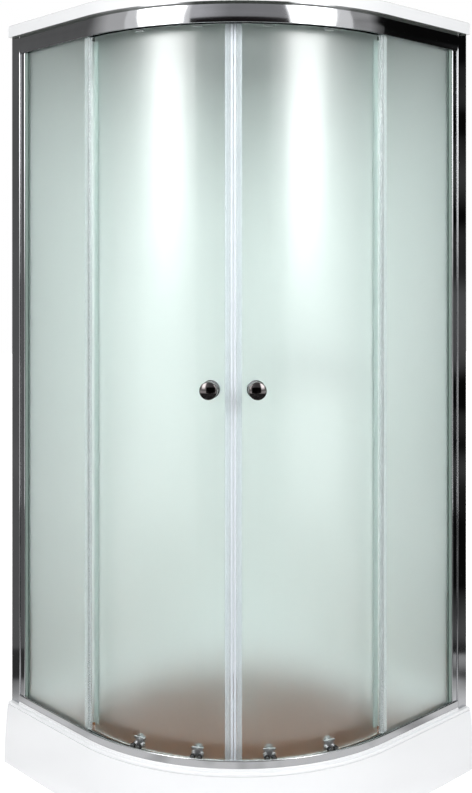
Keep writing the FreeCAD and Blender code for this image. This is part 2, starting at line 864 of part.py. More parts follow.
def make_button(roller):
    angle = eighth_turn - roller
    face = door_glass_face + hanger_seat_gap + hanger_plate
    origin = on_arc(face - button_depth, angle, lower_axle_height + hanger_hub_rise)
    top = button_depth + button_stand
    collar = top - button_collar_thickness
    outline = [(0, 0), (button_radius, 0), (button_radius, collar), (button_collar_radius, collar),
               (button_collar_radius, top), (0, top)]
    return turned(outline, origin, outward(angle))


def make_wheel(roller, height, sideways, rim_radius, groove_radius, width):
    """A grooved wheel: two flanges either side of the groove that sits over the track's rib."""
    angle = eighth_turn - roller
    origin = on_arc(track_radius - width * half_share, angle, height)
    origin += outward(angle + quarter_turn) * sideways
    groove = track_rib * half_share + groove_side_gap
    middle = width * half_share
    bore = axle_radius + axle_fit
    lead = bore + wheel_bore_lead
    rim_edge = rim_radius - wheel_bore_lead
    far = width - wheel_bore_lead
    near_wall = middle - groove
    far_wall = middle + groove
    outline = [(lead, 0), (rim_edge, 0), (rim_radius, wheel_bore_lead), (rim_radius, near_wall),
               (groove_radius, near_wall), (groove_radius, far_wall), (rim_radius, far_wall),
               (rim_radius, far), (rim_edge, width), (lead, width), (bore, far), (bore, wheel_bore_lead)]
    return turned(outline, origin, outward(angle))


def make_caps():
    """Domed caps that clamp the hangers from inside the glass."""
    caps = []
    outline = [(0, 0), (cap_radius, 0), (cap_radius, cap_thickness - cap_round),
               (cap_radius - cap_round, cap_thickness), (0, cap_thickness)]
    for angle, height, radius in glass_holes()[1:]:
        seat = on_arc(door_glass_back - cap_seat_gap, angle, height)
        caps.append(turned(outline, seat, outward(angle) * -1))
    return Part.makeCompound(caps)


# Knobs: turned bodies with a domed face, one on each side of the glass
def knob_body(length, foot_radius, origin, axis):
    """Round foot, narrow neck, flared flank, upright edge and a spherical cap with a softened shoulder."""
    neck = length * knob_neck_length_share
    edge = length * knob_edge_share
    outline = [(0, 0), (foot_radius, 0), (foot_radius, knob_foot_length),
               (knob_neck_radius, knob_foot_length), (knob_neck_radius, neck), (knob_radius, edge),
               (knob_radius, length), (0, length)]
    blank = turned(outline, V(0, 0, 0), up)
    ball = (knob_radius ** 2 + knob_crown ** 2) / knob_crown * half_share
    cap = Part.makeSphere(ball, V(0, 0, length - ball))
    body = blank.common(cap)
    body = body.makeFillet(knob_shoulder, edges_at(body, length - knob_crown))
    body.Placement = FreeCAD.Placement(origin, FreeCAD.Rotation(up, axis))
    return body


def make_outer_knob():
    angle = eighth_turn - knob_angle
    out = outward(angle)
    seat = on_arc(door_glass_face + knob_seat_gap, angle, knob_height)
    knob = knob_body(knob_length, knob_flange_radius, seat, out)
    stud = rod(on_arc(door_glass_back - knob_seat_gap, angle, knob_height), out, knob_stud_radius,
               glass_thickness + knob_seat_gap * 3)
    return knob.fuse(stud)


def make_inner_knob():
    angle = eighth_turn - knob_angle
    seat = on_arc(door_glass_back - knob_seat_gap, angle, knob_height)
    return knob_body(inner_knob_length, inner_knob_foot_radius, seat, outward(angle) * -1)


# Rail ends: a block in each rail end, and a screw through the post into each block
def make_connector_blocks():
    start = -half + post_width
    front_radius = frame_radius - rail_wall - connector_gap
    back_radius = channel_back + connector_gap
    upper = box(V(start, arc_y - front_radius, ledge_top + connector_gap),
                V(start + connector_length, arc_y - back_radius, frame_top - rail_wall - connector_gap))
    rear_radius = rail_back + connector_gap
    lower_front = channel_back - rail_wall - connector_gap
    lower = box(V(start, arc_y - lower_front, lower_floor),
                V(start + connector_length, arc_y - rear_radius, bead_top + bottom_rail_back_height))
    blocks = []
    for block, point in zip((upper, lower), screw_points()):
        blocks.append(block.cut(rod(point, V(1, 0, 0), screw_shank_radius + screw_hole_gap, screw_length)))
    return both_sides(blocks)


def screw_points():
    """Where the screws pass the post's inner side: at the upper and the lower connector block."""
    face = -half + post_width - post_wall
    upper_radius = frame_radius - upper_screw_from_face
    lower_radius = (channel_back + rail_back) * half_share
    upper = V(face, arc_y - upper_radius, (ledge_top + frame_top) * half_share)
    lower = V(face, arc_y - lower_radius, lower_floor + bottom_rail_back_height * half_share)
    return [upper, lower]


def make_screws():
    screws = []
    for point in screw_points():
        head = rod(point - V(screw_head_height, 0, 0), V(1, 0, 0), screw_head_radius, screw_head_height)
        screws.append(head.fuse(rod(point, V(1, 0, 0), screw_shank_radius, screw_length)))
    return both_sides(screws)


# Back walls
def make_back_panel():
    start = -frame_line + post_depth + panel_end_gap
    finish = half - corner_post_width
    return box(V(-half, start, rim_height), V(-half + panel_thickness, finish, frame_top))


def make_corner_post():
    start = V(-half, half - corner_post_width, rim_height)
    wide = corner_post_width
    wall = corner_post_wall
    near = wide - wall
    outer = [(0, 0), (wall, 0), (wide, near), (wide, wide), (0, wide)]
    inner = [(wall, wall * 3), (wide - wall * 3, near), (wall, near)]
    blocks = []
    for outline in (outer, inner):
        corners = [start + V(x, y, 0) for x, y in outline]
        blocks.append(Part.Face(Part.makePolygon(corners + corners[:1])).extrude(V(0, 0, frame_height)))
    return blocks[0].cut(blocks[1])


# Roof: a moulded shell with an upright lip, a seat on the rails and a shallow crown
def make_roof():
    edge = (rim_inset, 0)
    crest = (roof_crown_front_inset, roof_crown_back_inset)
    lip = plan_block(rim_inset, 0, frame_top, roof_lip_top)
    crown = plan_taper(edge, crest, roof_lip_top, total_height)
    body = lip.fuse(crown).removeSplitter()
    body = body.makeFillet(roof_edge_round, edges_at(body, roof_lip_top))
    inner_edge = [inset + roof_wall for inset in edge]
    inner_crest = [inset + roof_wall for inset in crest]
    spring = roof_lip_top - roof_wall * half_share
    inside = plan_block(inner_edge[0], inner_edge[1], frame_top + roof_wall, spring)
    inner_crown = plan_taper(inner_edge, inner_crest, spring, total_height - roof_wall)
    seat_inset = rim_inset + roof_seat_width + roof_wall
    mouth = plan_block(seat_inset, roof_seat_width, frame_top, frame_top + roof_wall * 2)
    return body.cut(inside.fuse(inner_crown)).cut(mouth)


# Mixer on the back panel, riser up to the roof and a flat rose under the crown
def mixer_centre():
    return V(-half + mixer_from_corner, half - panel_thickness - mixer_from_panel, mixer_height)


def inlet_points():
    wall = V(mixer_centre().x, half, mixer_height)
    return [wall - V(inlet_spacing * half_share, 0, 0), wall + V(inlet_spacing * half_share, 0, 0)]


def make_mixer():
    centre = mixer_centre()
    body = rod(centre - V(mixer_length * half_share, 0, 0), V(1, 0, 0), mixer_radius, mixer_length)
    body = body.makeFillet(mixer_end_round, [e for e in body.Edges if e.BoundBox.XLength < mixer_end_round])
    reach = mixer_from_panel + panel_thickness
    for point in inlet_points():
        body = body.fuse(rod(point, V(0, -1, 0), inlet_radius, reach))
        seat = point - V(0, panel_thickness, 0)
        body = body.fuse(Part.makeCone(rosette_radius, inlet_radius, rosette_thickness, seat, V(0, -1, 0)))
    for point in inlet_points():
        body = body.cut(rod(point, V(0, -1, 0), inlet_bore_radius, inlet_bore_depth))
    for end in (-1, 1):
        spindle = centre + V(mixer_length * half_share * end, 0, 0)
        body = body.fuse(rod(spindle, V(end, 0, 0), handle_bore_radius - spindle_fit, spindle_length))
    return body.removeSplitter()


def make_handle(end):
    """A fluted grip with one wing, on the spindle at one end of the mixer."""
    start = mixer_centre() + V((mixer_length * half_share + handle_gap) * end, 0, 0)
    axis = V(end, 0, 0)
    grip = rod(start, axis, handle_radius, handle_length)
    for i in range(handle_flute_count):
        turn = radians(full_turn / handle_flute_count * (i + half_share))
        place = start + V(0, cos(turn), sin(turn)) * (handle_radius + handle_flute_radius * half_share)
        grip = grip.cut(rod(place, axis, handle_flute_radius, handle_length))
    wing = handle_wing_width * half_share
    tip = start + axis * handle_length
    low = V(min(start.x, tip.x), start.y - wing, start.z)
    high = V(max(start.x, tip.x), start.y + wing, start.z + handle_radius + handle_wing_length)
    grip = grip.fuse(box(low, high))
    return grip.cut(rod(start, axis, handle_bore_radius, spindle_length + handle_gap))


def riser_path():
    """Up from the mixer, then over to the rose in the middle of the roof."""
    centre = mixer_centre()
    top = total_height - roof_wall - riser_below_crown
    foot = centre + V(0, 0, mixer_radius)
    knee = V(foot.x, foot.y, top)
    goal = V(arc_x, arc_y, top)
    along = (goal - knee).normalize()
    bend_low = knee - up * riser_bend
    bend_high = knee + along * riser_bend
    edges = [Part.LineSegment(foot, bend_low).toShape(), corner_arc(knee, up * -1, along, riser_bend)]
    edges.append(Part.LineSegment(bend_high, goal - along * rose_neck_radius).toShape())
    return foot, Part.Wire(edges)


def make_riser():
    foot, path = riser_path()
    outer = Part.Wire([Part.Circle(foot, up, riser_radius).toShape()])
    inner = Part.Wire([Part.Circle(foot, up, riser_radius - riser_wall).toShape()])
    return path.makePipeShell([outer], True, False).cut(path.makePipeShell([inner], True, False))


def make_rose():
    top = total_height - roof_wall
    low = top - rose_drop
    centre = V(arc_x, arc_y, 0)
    high = low + rose_thickness
    outline = [(0, low), (rose_radius - rose_round, low), (rose_radius, low + rose_round),
               (rose_radius, high - rose_round), (rose_neck_radius, high), (rose_neck_radius, top), (0, top)]
    disc = turned(outline, centre, up)
    nozzles = []
    for ring, circle in enumerate(nozzle_ring_radii, 1):
        count = nozzle_ring_count * ring
        for i in range(count):
            turn = radians(full_turn / count * i)
            place = centre + V(cos(turn), sin(turn), 0) * circle + V(0, 0, low - nozzle_height)
            nozzles.append(rod(place, up, nozzle_radius, nozzle_height))
    return disc.fuse(nozzles)


def make_holed_panel():
    """The right back panel, with holes for the mixer's two inlets."""
    panel = mirrored(make_back_panel())
    for point in inlet_points():
        panel = panel.cut(rod(point, V(0, -1, 0), inlet_radius + panel_hole_gap, panel_thickness))
    return panel


pieces = {
    "tray": make_tray(),
    "floor_panel": make_floor_panel(),
    "apron": make_apron(),
    "support_frame": make_support_frame(),
    "levelling_feet": Part.makeCompound(make_feet() + make_foot_nuts()),
    "waste": make_waste(),
    "waste_cover": make_waste_cover(),
    "top_rail": make_top_rail(),
    "bottom_rail": make_bottom_rail(),
    "tracks": Part.makeCompound([make_track(ledge_top, upper_rib_height),
                                 make_track(lower_floor, lower_rib_height)]),
    "glazing_profiles": both_sides([make_glazing_profile()]),
    "gaskets": both_sides(make_gasket()),
    "edge_strips": both_sides([make_edge_strip()]),
    "rail_connectors": make_connector_blocks(),
    "frame_screws": make_screws(),
    "back_panel_left": make_back_panel(),
    "back_panel_right": make_holed_panel(),
    "corner_post": make_corner_post(),
    "roof": make_roof(),
    "mixer": make_mixer(),
    "flow_handle": make_handle(-1),
    "heat_handle": make_handle(1),
    "riser": make_riser(),
    "rose": make_rose(),
}

# Pieces that come in a left and a right form
paired = {
    "post": make_post(),
    "fixed_glass": make_fixed_glass(),
    "door_glass": make_door_glass(),
    "magnet_strip": make_magnet_strip(),
    "trail_strip": make_trail_strip(),
    "upper_hangers": make_upper_hangers(),
    "lower_hangers": make_lower_hangers(),
    "hanger_caps": make_caps(),
    "outer_knob": make_outer_knob(),
    "inner_knob": make_inner_knob(),
}
upper_wheel = (upper_wheel_radius, upper_groove_radius, upper_wheel_width)
lower_wheel = (lower_wheel_radius, lower_groove_radius, lower_wheel_width)
for place, roller in zip(("lead", "trail"), roller_angles):
    paired["upper_wheel_" + place] = make_wheel(roller, upper_axle_height, 0, *upper_wheel)
    paired["button_" + place] = make_button(roller)
    for mark, sideways in (("a", -lower_wheel_spread), ("b", lower_wheel_spread)):
        wheel = make_wheel(roller, lower_axle_height, sideways, *lower_wheel)
        paired["lower_wheel_" + place + "_" + mark] = wheel

for name, shape in paired.items():
    pieces[name + "_left"] = shape
    pieces[name + "_right"] = mirrored(shape)

os.makedirs("parts", exist_ok=True)
for name, shape in pieces.items():
    shape.exportStep("parts/" + name + ".step")
    print(name, len(shape.Solids), shape.isValid())
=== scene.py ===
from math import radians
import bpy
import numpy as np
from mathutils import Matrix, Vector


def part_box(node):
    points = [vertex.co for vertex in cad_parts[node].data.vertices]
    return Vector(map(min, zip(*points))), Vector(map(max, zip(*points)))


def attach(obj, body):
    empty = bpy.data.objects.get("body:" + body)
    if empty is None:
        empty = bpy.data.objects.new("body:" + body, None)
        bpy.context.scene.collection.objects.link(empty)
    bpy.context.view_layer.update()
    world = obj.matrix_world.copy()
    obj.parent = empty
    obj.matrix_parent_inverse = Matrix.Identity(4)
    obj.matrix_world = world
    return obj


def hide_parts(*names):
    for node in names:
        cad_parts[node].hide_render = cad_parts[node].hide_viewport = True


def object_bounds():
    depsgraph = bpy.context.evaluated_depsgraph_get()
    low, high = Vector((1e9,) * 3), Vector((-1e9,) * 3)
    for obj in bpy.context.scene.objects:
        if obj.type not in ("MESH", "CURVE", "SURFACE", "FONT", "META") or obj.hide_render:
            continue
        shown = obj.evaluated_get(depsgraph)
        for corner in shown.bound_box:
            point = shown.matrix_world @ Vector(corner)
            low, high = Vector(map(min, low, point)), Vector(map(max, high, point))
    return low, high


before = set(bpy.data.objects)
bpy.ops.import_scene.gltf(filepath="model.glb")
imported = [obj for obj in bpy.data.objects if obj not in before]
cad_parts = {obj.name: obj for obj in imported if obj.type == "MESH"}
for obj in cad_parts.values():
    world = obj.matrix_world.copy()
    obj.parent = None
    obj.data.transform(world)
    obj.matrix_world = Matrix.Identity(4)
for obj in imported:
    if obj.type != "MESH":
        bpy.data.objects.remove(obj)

# %% [markdown]
# # A quarter-round shower cabin
# The engineering model brings every rigid piece into place, in metres: tray, apron, rails, posts, glass,
# rollers and fittings. This script dresses it. The cabin stands in a room corner, so its two back walls are
# flat and plain, and nearly everything that makes it look like a shower cabin lies in five finishes: frosted
# glass, mirror-bright metal, white acrylic, clear vinyl strip, and the brown floor that glows softly through
# the doors.

MM = 0.001
cad_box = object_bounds()
print("CAD box, mm:", [[round(v / MM) for v in corner] for corner in cad_box])

# %% [markdown]
# ## Helpers for the finishes
# A finish in Blender is a small network of nodes. One function is enough to add any kind of node: it takes
# the node's kind, its settings, and for each socket either a value or another node's output. Colours are
# written as a designer notes them from a swatch, so a second function turns those six digits into the linear
# numbers that the renderer works with. Most finishes here vary in soft patches, in shade and in gloss
# together, so a third function draws such patches at a real size.

# %% Helpers for the finishes
def linear(swatch):
    """A colour written as six hex digits, as linear red, green, blue and full opacity."""
    levels = np.array([int(swatch[i:i + 2], 16) for i in (0, 2, 4)]) / 255
    return (*np.where(levels <= 0.04045, levels / 12.92, ((levels + 0.055) / 1.055) ** 2.4), 1.0)


def add(tree, kind, sockets=None, **settings):
    """Adds one node. sockets maps a socket's name or number to a value, or to another node's output."""
    node = tree.nodes.new("ShaderNode" + kind)
    for key, value in settings.items():
        setattr(node, key, value)
    for key, value in (sockets or {}).items():
        if isinstance(value, bpy.types.NodeSocket):
            tree.links.new(value, node.inputs[key])
        else:
            node.inputs[key].default_value = value
    return node


# A Mix node has several sockets of the same name, so its colours go by number.
FIRST, SECOND, MIXED = 6, 7, 2


def varied(tree, place, patch_mm, detail, swatches, gloss):
    """Soft random patches of about that size. Gives a colour and a roughness that run with them from the
    first to the second of each pair, and the patches' own value from 0 to 1."""
    patch = add(tree, "TexNoise", {"Vector": place, "Scale": 1 / (patch_mm * MM), "Detail": detail})
    patch = patch.outputs["Fac"]
    ends = {FIRST: linear(swatches[0]), SECOND: linear(swatches[1])}
    colour = add(tree, "Mix", {"Factor": patch, **ends}, data_type="RGBA").outputs[MIXED]
    ends = {"To Min": gloss[0], "To Max": gloss[1]}
    roughness = add(tree, "MapRange", {"Value": patch, **ends}).outputs[0]
    return colour, roughness, patch


# %% [markdown]
# A finish starts as an empty network, ends in an output node, and is then put on pieces of the model. Many
# pieces come twice, one for each door, so their names are made for both sides at once.

# %% Helpers that start, end and use a finish
def start_finish(name):
    """An empty material, its node tree, and the place on the object that its patterns are drawn from."""
    finish = bpy.data.materials.new(name)
    finish.use_nodes = True
    finish.node_tree.nodes.clear()
    return finish, finish.node_tree, add(finish.node_tree, "TexCoord").outputs["Object"]


def end_finish(tree, shader):
    """Links the last shader to the material's output."""
    tree.links.new(shader.outputs[0], add(tree, "OutputMaterial").inputs["Surface"])


def dress(finish, *names):
    """Puts one finish on nodes of the engineering model."""
    for name in names:
        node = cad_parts[name]
        if not node.material_slots:
            node.data.materials.append(finish)
        for held in node.material_slots:
            held.material = finish
    print(finish.name, "on", ", ".join(names))


def with_sides(*names):
    """The names of pieces that come once on the left and once on the right."""
    return [name + "_" + side for name in names for side in ("left", "right")]


# %% [markdown]
# ## Frosted glass
# The panes are 5 mm tempered glass, etched on the inner side and smooth outside. What lies behind shows only
# as soft tones, while the outer face still mirrors lamps and rail. A principled shader gives both: rough
# transmission for the etched body, and a thin smooth coat for the mirror. Rough glass blocks lamps in a ray
# tracer, and the cabin would be black inside. So the light that lamps send straight through meets a faintly
# green clear pane instead, which a light-path switch chooses. A fixed pane also has one free edge, ground by
# a belt, and glass seen through its own edge is dark green.

# %% Frosted glass
CLOUD_MM = 420.0


def end_clear_finish(tree, body, lamp_tint):
    """Ends a see-through finish: light from lamps passes a clear tint, and other rays meet the body."""
    clear = add(tree, "BsdfTransparent", {"Color": linear(lamp_tint)})
    lamp_ray = add(tree, "LightPath").outputs["Is Shadow Ray"]
    end_finish(tree, add(tree, "MixShader", {0: lamp_ray, 1: body.outputs[0], 2: clear.outputs[0]}))


def frosted_glass(name, edge_line=None):
    """Etched glass, and dark where a pane passes edge_line. Each fixed pane runs along one plan axis, so
    the smaller of x and minus y is the place along it."""
    finish, tree, place = start_finish(name)
    shades = ("f3faf8", "f7fcfb")
    tint, roughness = varied(tree, place, CLOUD_MM, detail=2.0, swatches=shades, gloss=(0.31, 0.36))[:2]
    if edge_line is not None:
        plan = add(tree, "SeparateXYZ", {0: place}).outputs
        forward = add(tree, "Math", {0: plan["Y"], 1: -1.0}, operation="MULTIPLY").outputs[0]
        along = add(tree, "Math", {0: plan["X"], 1: forward}, operation="MINIMUM").outputs[0]
        edge = add(tree, "Math", {0: along, 1: edge_line}, operation="GREATER_THAN").outputs[0]
        ends = {FIRST: tint, SECOND: linear("22332c")}
        tint = add(tree, "Mix", {"Factor": edge, **ends}, data_type="RGBA").outputs[MIXED]
    pane = add(tree, "BsdfPrincipled", {
        "Base Color": tint, "Roughness": roughness, "IOR": 1.5, "Transmission Weight": 1.0,
        "Coat Weight": 0.8, "Coat Roughness": 0.19})
    end_clear_finish(tree, pane, "f0f8f6")
    return finish


pane_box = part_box("fixed_glass_left")
ground_depth = 0.2 * MM
# Etching turns what stands behind into a pale green blur, and the smooth side shows the lamps as columns.
dress(frosted_glass("etched tempered glass, smooth outside"), *with_sides("door_glass"))
# The same glass, whose ground edge is a thin dark line inside its vinyl strip
dress(frosted_glass("etched tempered glass with a ground edge", pane_box[1][0] - ground_depth),
      *with_sides("fixed_glass"))

# %% [markdown]
# ## Metal
# The rails and wall posts are aluminium, polished until they mirror, and the knobs, taps and pipes are
# chrome plate. A mirror has almost no colour of its own, so these finishes are a pale grey metal with a
# faint film that varies the roughness. The roller bodies are brushed, which spreads reflections wide.

# %% Metal
def metal(name, swatches, gloss, film_mm=60.0):
    """A metal under a faint film in patches of that size."""
    finish, tree, place = start_finish(name)
    shade, roughness = varied(tree, place, film_mm, detail=4.0, swatches=swatches, gloss=gloss)[:2]
    end_finish(tree, add(tree, "BsdfPrincipled", {
        "Base Color": shade, "Metallic": 1.0, "Roughness": roughness}))
    return finish


# Pressed through a die, then polished on wheels: a grey mirror with slightly soft edges
polished = metal("polished bright aluminium", ("b9babd", "c6c7c9"), (0.05, 0.11))
# Plated on a smooth casting: the sharpest mirror on the cabin
chrome = metal("chrome plate on zinc casting", ("bcbdc0", "cbccce"), (0.03, 0.07))
# Plated on turned brass: bright, and seen only as pale shapes through the glass or past an open door
bright = metal("bright chrome plate on brass", ("e0e1e3", "eceded"), (0.1, 0.16))
# Brushed before plating: a broad pale sheen. Brush marks are drawn as 4 mm patches, or they wouldn't show.
brushed = metal("brushed chrome plate on zinc casting", ("d2d3d4", "e0e1e2"), (0.34, 0.46), film_mm=4.0)
# Plated with zinc: a dull, cloudy grey, whose clouds are drawn larger than real so that they show
zinc = metal("zinc plated steel", ("9c9c98", "b3b2ac"), (0.25, 0.4), film_mm=12.0)
dress(polished, "top_rail", "glazing_profiles", *with_sides("post"))
dress(chrome, *with_sides("hanger_caps"))
dress(bright, "waste_cover", "mixer", "flow_handle", "heat_handle", "riser", "rose")
dress(brushed, *with_sides("upper_hangers", "lower_hangers", "button_lead", "button_trail"))
dress(zinc, "levelling_feet", "frame_screws")

# %% [markdown]
# Two metal pieces change their finish part of the way out from the centre of the arc that rails and doors
# follow. The low rail is polished on its face and dull inside its channel, which is also painted dark as
# shade, and a knob has a bright neck and a face painted nearly black as a dark reflection. One material can
# hold both finishes if it knows how far out a place lies. The arc's centre stands equally far from both
# walls.

# %% Metal with two finishes
TO_FRONT = np.array([1.0, -1.0, 0.0])
WALL_TO_ARC_CENTRE = 350.0 * MM
RAIL_LINE, KNOB_LINE, LINE_HALF = 520.0 * MM, 507.0 * MM, 1.0 * MM
ARC_CENTRE = np.array([cad_box[0][0], cad_box[1][1], 0.0]) + WALL_TO_ARC_CENTRE * TO_FRONT
print("centre of the arc, mm:", np.round(ARC_CENTRE / MM))


def outward(tree, place):
    """How far out a place lies: its distance from the arc's centre, where a direction in which it lies
    behind that centre counts as zero. So it is the same all along a rail, on straight ends and arc."""
    from_centre = {0: place, 1: tuple(TO_FRONT), 2: tuple(-ARC_CENTRE * TO_FRONT)}
    out = add(tree, "VectorMath", from_centre, operation="MULTIPLY_ADD").outputs[0]
    out = add(tree, "VectorMath", {0: out, 1: (0.0, 0.0, 0.0)}, operation="MAXIMUM").outputs[0]
    return add(tree, "VectorMath", {0: out}, operation="LENGTH").outputs["Value"]


def two_finishes(name, line, swatches, gloss):
    """A metal that changes from its first to its second finish within 2 mm at a line, given as how far
    out it lies."""
    finish, tree, place = start_finish(name)
    ends = {"From Min": line - LINE_HALF, "From Max": line + LINE_HALF}
    second = add(tree, "MapRange", {"Value": outward(tree, place), **ends}).outputs[0]
    ends = {FIRST: linear(swatches[0]), SECOND: linear(swatches[1])}
    shade = add(tree, "Mix", {"Factor": second, **ends}, data_type="RGBA").outputs[MIXED]
    ends = {"To Min": gloss[0], "To Max": gloss[1]}
    roughness = add(tree, "MapRange", {"Value": second, **ends}).outputs[0]
    end_finish(tree, add(tree, "BsdfPrincipled", {
        "Base Color": shade, "Metallic": 1.0, "Roughness": roughness}))
    return finish


# The channel is dull and painted dark as shade, and polishing makes the face a light mirror.
rail_metal_painted_shade = two_finishes(
    "aluminium rail, polished face and dull channel", RAIL_LINE, ("3c3d3c", "c4c5c7"), (0.6, 0.07))
dress(rail_metal_painted_shade, "bottom_rail")
# The face is painted nearly black as a dark reflection, so little more than lamps shows in it, and the neck
# shines out behind.
knob_metal_painted_reflection = two_finishes(
    "chrome plated knob with a face painted dark as a reflection", KNOB_LINE, ("dcdddf", "625e5e"), (0.1, 0.08))
dress(knob_metal_painted_reflection, *with_sides("outer_knob", "inner_knob"))

# %% [markdown]
# ## White acrylic
# Tray, apron and roof are white sanitary acrylic, drawn over a mould while hot. Such a sheet is glossy with
# a very slight orange-peel. The roof's underside is painted dark grey as shade, so its colour follows the
# way a face points.

# %% White acrylic
PEEL_MM, DRIFT_MM = 8.0, 300.0


def acrylic(name, swatches, other=None, other_share=None):
    """A glossy sheet with slight waves, which has another colour where other_share is 1. The waves are
    drawn 8 mm wide, coarser than real, so that they show."""
    finish, tree, place = start_finish(name)
    peel = add(tree, "TexNoise", {"Vector": place, "Scale": 1 / (PEEL_MM * MM), "Detail": 2.0})
    peel = peel.outputs["Fac"]
    roughness = add(tree, "MapRange", {"Value": peel, "To Min": 0.16, "To Max": 0.24}).outputs[0]
    waves = add(tree, "Bump", {"Height": peel, "Strength": 0.04, "Distance": 0.4 * MM}).outputs["Normal"]
    drift = add(tree, "TexNoise", {"Vector": place, "Scale": 1 / (DRIFT_MM * MM), "Detail": 2.0})
    ends = {FIRST: linear(swatches[0]), SECOND: linear(swatches[1])}
    sheet = add(tree, "Mix", {"Factor": drift.outputs["Fac"], **ends}, data_type="RGBA").outputs[MIXED]
    if other:
        ends = {FIRST: sheet, SECOND: linear(other)}
        sheet = add(tree, "Mix", {"Factor": other_share(tree, place), **ends}, data_type="RGBA")
        sheet = sheet.outputs[MIXED]
    end_finish(tree, add(tree, "BsdfPrincipled", {
        "Base Color": sheet, "Roughness": roughness, "Normal": waves,
        "Coat Weight": 0.4, "Coat Roughness": 0.05}))
    return finish


def looking_down(tree, place):
    """1 on faces that point down, from the height of their normal."""
    height = add(tree, "SeparateXYZ", {0: add(tree, "TexCoord").outputs["Normal"]}).outputs["Z"]
    ends = {"From Min": -0.7, "From Max": -0.4, "To Min": 1.0, "To Max": 0.0}
    return add(tree, "MapRange", {"Value": height, **ends}).outputs[0]


# Drawn sheet: a clean white with broad soft highlights
dress(acrylic("white sanitary acrylic, vacuum formed", ("eff0f2", "f3f4f6")), "apron")
# The same sheet with painted shade below: the white lip stands out from an underside painted dark grey.
roof_sheet_with_painted_shade = acrylic(
    "white acrylic roof with painted shade underneath", ("dadbdd", "e0e1e2"), "70756f", looking_down)
dress(roof_sheet_with_painted_shade, "roof")
# Hard coated board: the same soft gloss on flat walls, a little warmer in tone
wall_board = acrylic("white wall board, hard coated", ("ebedec", "f0f2f1"))
dress(wall_board, "corner_post", *with_sides("back_panel"))

# %% [markdown]
# The tray is one sheet with two colours: white outside, and brown in the basin. The brown runs a hand's
# breadth up the basin's sides and over the flat behind the doors, so its shade follows the place, and on the
# sides also the way a face looks.

# %% White acrylic with a brown basin
BASIN_MIDDLE = (-30.0 * MM, 30.0 * MM, 200.0 * MM)
BROWN_FULL, BROWN_END = 92.0 * MM, 110.0 * MM
FLAT_START, FLAT_END = (446.0 * MM, 450.0 * MM), (484.0 * MM, 486.0 * MM)
FACING_BLEND = 20.0 * MM


def inside_basin(tree, place):
    """1 where the tray is brown: on low faces that look towards the basin's middle, and on the flat behind
    the doors. A face looks there if the way to the middle has a positive share along its normal."""
    to_middle = add(tree, "VectorMath", {0: BASIN_MIDDLE, 1: place}, operation="SUBTRACT").outputs[0]
    normal = add(tree, "TexCoord").outputs["Normal"]
    facing = add(tree, "VectorMath", {0: to_middle, 1: normal}, operation="DOT_PRODUCT").outputs["Value"]
    height = add(tree, "SeparateXYZ", {0: place}).outputs["Z"]
    reach = outward(tree, place)
    # Each limit is a value, where its change starts and ends, and what it is before and after.
    limits = ((facing, 0.0, FACING_BLEND, 0.0, 1.0), (height, BROWN_FULL, BROWN_END, 1.0, 0.0),
              (reach, *FLAT_START, 0.0, 1.0), (reach, *FLAT_END, 1.0, 0.0))
    sockets = ("Value", "From Min", "From Max", "To Min", "To Max")
    looks_in, low, past_start, before_end = [
        add(tree, "MapRange", dict(zip(sockets, limit))).outputs[0] for limit in limits]
    sides = add(tree, "Math", {0: looks_in, 1: low}, operation="MULTIPLY").outputs[0]
    flat = add(tree, "Math", {0: past_start, 1: before_end}, operation="MULTIPLY").outputs[0]
    return add(tree, "Math", {0: sides, 1: flat}, operation="MAXIMUM").outputs[0]


# A white rim, and a warm brown that the frosted glass turns into a glow
tray_sheet = acrylic(
    "white acrylic tray with a brown basin", ("eff0f2", "f3f4f6"), "663a18", inside_basin)
dress(tray_sheet, "tray")

# %% [markdown]
# ## Moulded and coated pieces
# Wheels, running strips, gaskets and waste are moulded plastics with a fine grain, and the frame under the
# tray is powder coated. They differ only in colour and gloss, so one function makes them all.

# %% Moulded and coated pieces
GRAIN_MM = 2.0


def moulded(name, swatches, gloss):
    """A plastic or coat with a grain that also lifts its surface. The grain is drawn at 2 mm, coarser than
    real, so that it shows."""
    finish, tree, place = start_finish(name)
    colour, roughness, skin = varied(tree, place, GRAIN_MM, detail=3.0, swatches=swatches, gloss=gloss)
    lifted = add(tree, "Bump", {"Height": skin, "Strength": 0.1, "Distance": 0.2 * MM}).outputs["Normal"]
    end_finish(tree, add(tree, "BsdfPrincipled", {
        "Base Color": colour, "Roughness": roughness, "IOR": 1.45, "Normal": lifted}))
    return finish


lower_wheels = ["lower_wheel_%s_%s" % (end, mark) for end in ("lead", "trail") for mark in "ab"]
# Moulded nylon: nearly black, with a dull shine on its rims
dress(moulded("dark moulded nylon", ("1c1c1d", "2a2a2b"), (0.35, 0.5)),
      *with_sides("upper_wheel_lead", "upper_wheel_trail", *lower_wheels))
# Soft plastic: a matt grey-green line beside the glass
dress(moulded("grey-green soft gasket", ("74847e", "82918b"), (0.4, 0.55)), "gaskets")
# Slippery plastic: an even mid grey inside the rails
dress(moulded("grey running strip", ("6f7173", "7d7f80"), (0.4, 0.55)), "tracks", "rail_connectors")
# Baked powder: dark and matt, so that the frame stays out of sight
dress(moulded("dark powder coat on steel tube", ("2a2b2d", "343537"), (0.45, 0.6)), "support_frame")
# Pipe plastic: a pale warm grey with little shine
dress(moulded("moulded pipe plastic", ("c2c2bf", "cfcfcb"), (0.35, 0.5)), "waste")

# %% [markdown]
# ## The brown floor
# A brown non-slip panel lies in the basin. Seen through the glass it is a warm glow at the cabin's foot. Its
# grain runs in long streaks across the cabin's diagonal, so the pattern's coordinates are turned by an
# eighth of a turn and squeezed.

# %% The brown floor
STREAK_MM, STREAK_STRETCH = 30.0, 10.0
GRIT_MM = 2.5


